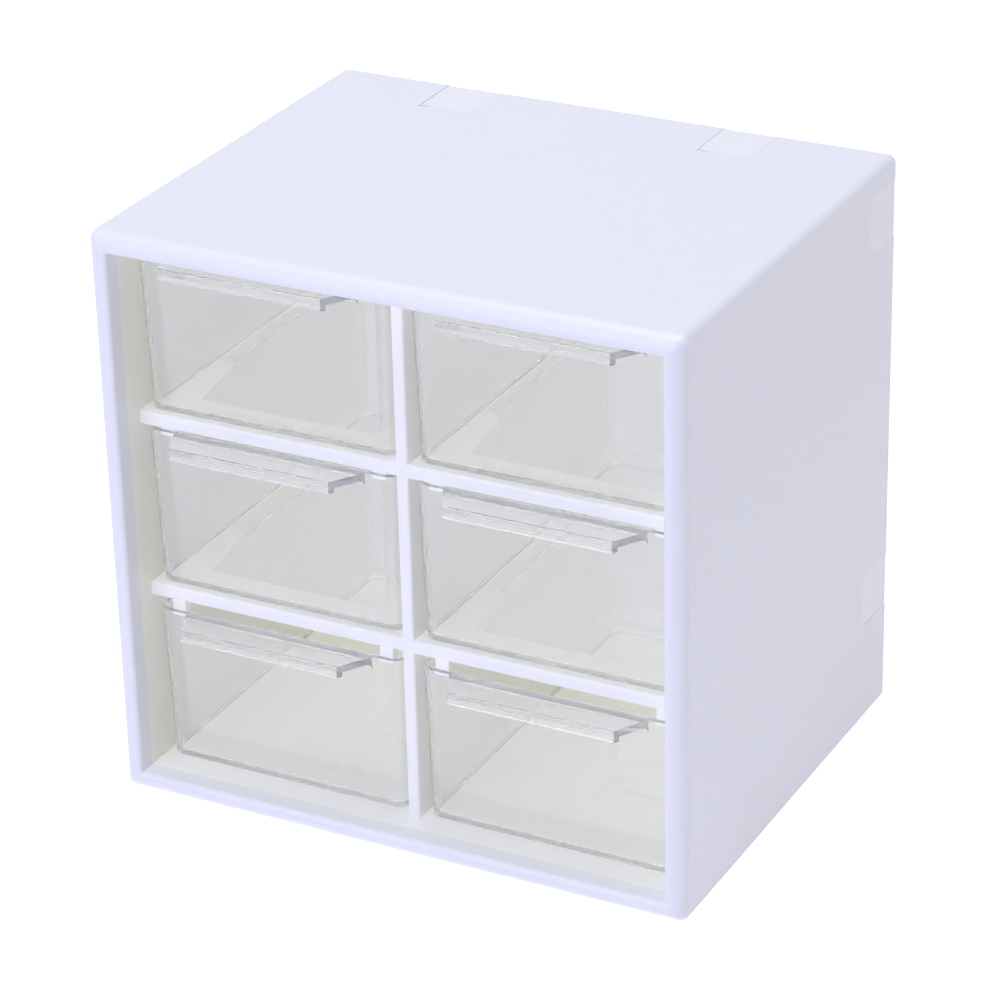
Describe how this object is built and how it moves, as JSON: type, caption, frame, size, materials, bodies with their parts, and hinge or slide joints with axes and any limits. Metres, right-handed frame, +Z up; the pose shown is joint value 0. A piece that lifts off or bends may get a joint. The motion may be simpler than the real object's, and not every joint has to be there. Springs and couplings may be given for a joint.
{
  "type": "desktop drawer organizer",
  "caption": "Small desktop organizer: a white cabinet with clear pull-out drawers side by side and in rows, each with a moulded handle plate and a stop.",
  "frame": {"origin": "middle of the cabinet's underside", "axes": "+X to the right as seen from the front, +Y towards the rear, +Z up; the drawers open along -Y"},
  "size_m": [0.15, 0.12, 0.146],
  "materials": {
    "cabinet_white": "satin white moulded plastic",
    "drawer_clear": "clear polished plastic"
  },
  "bodies": {
    "cabinet": {"outer_shell": "cabinet_white", "inner_frame": "cabinet_white", "rear_cover": "cabinet_white"},
    "bottom_left_drawer": {"drawer_bottom_left": "drawer_clear"},
    "bottom_right_drawer": {"drawer_bottom_right": "drawer_clear"},
    "middle_left_drawer": {"drawer_middle_left": "drawer_clear"},
    "middle_right_drawer": {"drawer_middle_right": "drawer_clear"},
    "top_left_drawer": {"drawer_top_left": "drawer_clear"},
    "top_right_drawer": {"drawer_top_right": "drawer_clear"}
  },
  "joints": [
    {"name": "bottom_left_slide", "type": "slide", "parent": "cabinet", "child": "bottom_left_drawer", "axis": [0, -1, 0], "range_m": [0, 0.0984]},
    {"name": "bottom_right_slide", "type": "slide", "parent": "cabinet", "child": "bottom_right_drawer", "axis": [0, -1, 0], "range_m": [0, 0.0984]},
    {"name": "middle_left_slide", "type": "slide", "parent": "cabinet", "child": "middle_left_drawer", "axis": [0, -1, 0], "range_m": [0, 0.0984]},
    {"name": "middle_right_slide", "type": "slide", "parent": "cabinet", "child": "middle_right_drawer", "axis": [0, -1, 0], "range_m": [0, 0.0984]},
    {"name": "top_left_slide", "type": "slide", "parent": "cabinet", "child": "top_left_drawer", "axis": [0, -1, 0], "range_m": [0, 0.0984]},
    {"name": "top_right_slide", "type": "slide", "parent": "cabinet", "child": "top_right_drawer", "axis": [0, -1, 0], "range_m": [0, 0.0984]}
  ]
}
